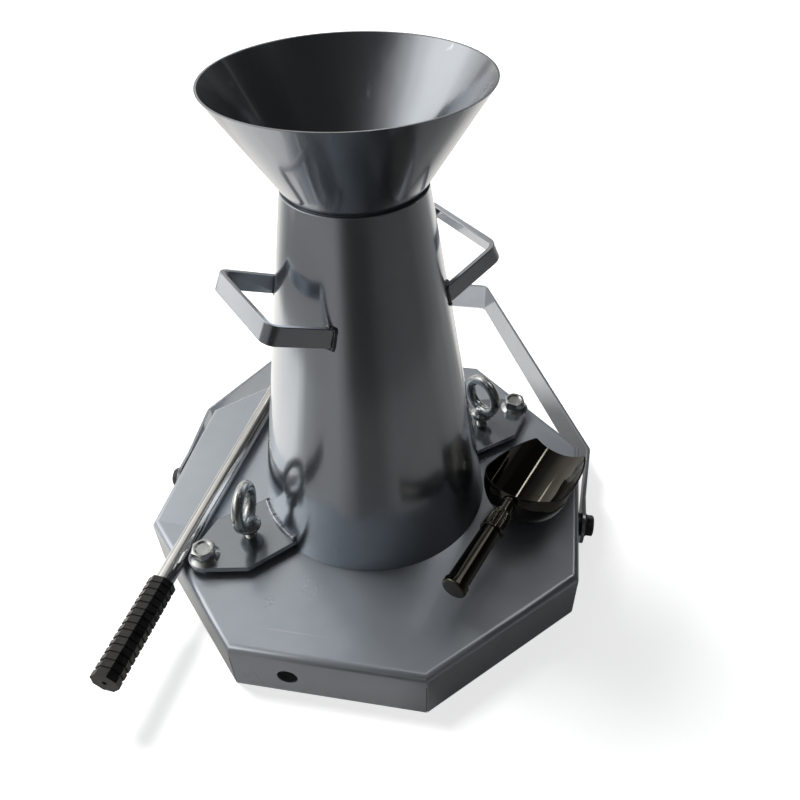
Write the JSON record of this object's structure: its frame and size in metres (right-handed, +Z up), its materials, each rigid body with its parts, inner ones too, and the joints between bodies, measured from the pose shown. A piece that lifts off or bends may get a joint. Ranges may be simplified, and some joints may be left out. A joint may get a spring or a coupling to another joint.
{
  "type": "slump cone",
  "caption": "Steel slump cone with foot plates and handles on a folded octagonal tray with a carrying bail, plus a lift-off funnel, tamping rod and scoop.",
  "frame": {"origin": "on the cone's axis at the ground under the base tray", "axes": "+Z up along the cone's axis, +X to the right, +Y to the rear, so that the tray's front wall with the rod hole faces -Y and the carrying bail lies towards +Y"},
  "size_m": [0.411, 0.6201, 0.422],
  "materials": {
    "painted_steel": "gloss grey enamel",
    "zinc_steel": "bright zinc plate",
    "dark_steel": "blackened",
    "chrome": "bright",
    "polished_steel": "mirror polish",
    "black_rubber": "satin"
  },
  "bodies": {
    "base": {"base_tray": "painted_steel", "tray_nuts": "zinc_steel", "pivot_bolts": "dark_steel", "pivot_nuts": "dark_steel", "nut_washers": "dark_steel", "spacer_washers": "dark_steel", "head_washers": "dark_steel"},
    "bail": {"carry_bail": "painted_steel"},
    "cone": {"cone_shell": "painted_steel", "left_handle": "painted_steel", "right_handle": "painted_steel", "left_foot_plate": "painted_steel", "right_foot_plate": "painted_steel", "locating_bolts": "zinc_steel", "locating_nuts": "zinc_steel"},
    "left_eye": {"left_eye_bolt": "zinc_steel"},
    "right_eye": {"right_eye_bolt": "zinc_steel"},
    "funnel": {"funnel_hopper": "painted_steel", "funnel_spigot": "painted_steel"},
    "rod": {"tamping_rod": "chrome", "rod_grip": "black_rubber"},
    "scoop": {"scoop_bowl": "polished_steel", "scoop_neck": "polished_steel", "scoop_ferrule": "polished_steel", "scoop_handle": "polished_steel", "scoop_end_cap": "polished_steel"}
  },
  "joints": [
    {"name": "bail_swing", "type": "hinge", "parent": "base", "child": "bail", "pos_m": [0, 0, 0.025], "axis": [1, 0, 0], "range_deg": [0, 73]},
    {"name": "cone_lift", "type": "slide", "parent": "base", "child": "cone", "axis": [0, 0, 1], "range_m": [0, 0.4]},
    {"name": "left_eye_turn", "type": "hinge", "parent": "cone", "child": "left_eye", "pos_m": [-0.09215, -0.08593, 0.05], "axis": [0, 0, 1], "continuous": true},
    {"name": "right_eye_turn", "type": "hinge", "parent": "cone", "child": "right_eye", "pos_m": [0.09215, 0.08593, 0.05], "axis": [0, 0, 1], "continuous": true},
    {"name": "funnel_lift", "type": "slide", "parent": "cone", "child": "funnel", "axis": [0, 0, 1], "range_m": [0, 0.15]},
    {"name": "rod_lift", "type": "slide", "parent": "base", "child": "rod", "axis": [0, 0, 1], "range_m": [0, 0.15]},
    {"name": "scoop_lift", "type": "slide", "parent": "base", "child": "scoop", "axis": [0, -0.8, 0.6], "range_m": [0, 0.15]}
  ]
}
